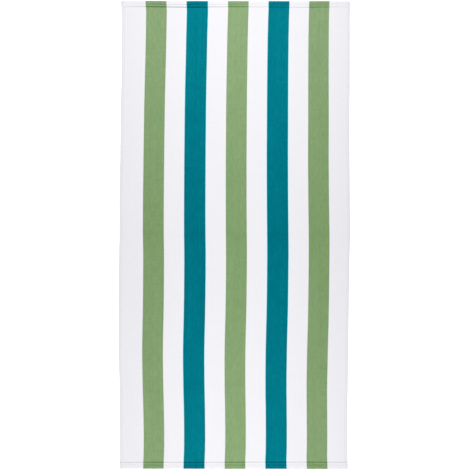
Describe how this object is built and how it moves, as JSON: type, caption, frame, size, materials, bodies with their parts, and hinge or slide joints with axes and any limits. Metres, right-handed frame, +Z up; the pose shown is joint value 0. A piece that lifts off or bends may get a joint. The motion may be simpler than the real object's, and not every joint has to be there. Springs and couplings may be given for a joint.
{
  "type": "beach towel",
  "caption": "Striped velour beach towel with double-stitched end hems, lying flat with its face up.",
  "frame": {"origin": "middle of the towel's outline, on its underside", "axes": "+Y along the towel and its stripes, +X across it, +Z up out of its face"},
  "size_m": [0.754, 1.525, 0.0039],
  "materials": {
    "striped_velour": "soft matte cotton velour in white, green and teal lengthwise stripes"
  },
  "bodies": {
    "root": {"towel": "striped_velour"}
  },
  "joints": []
}
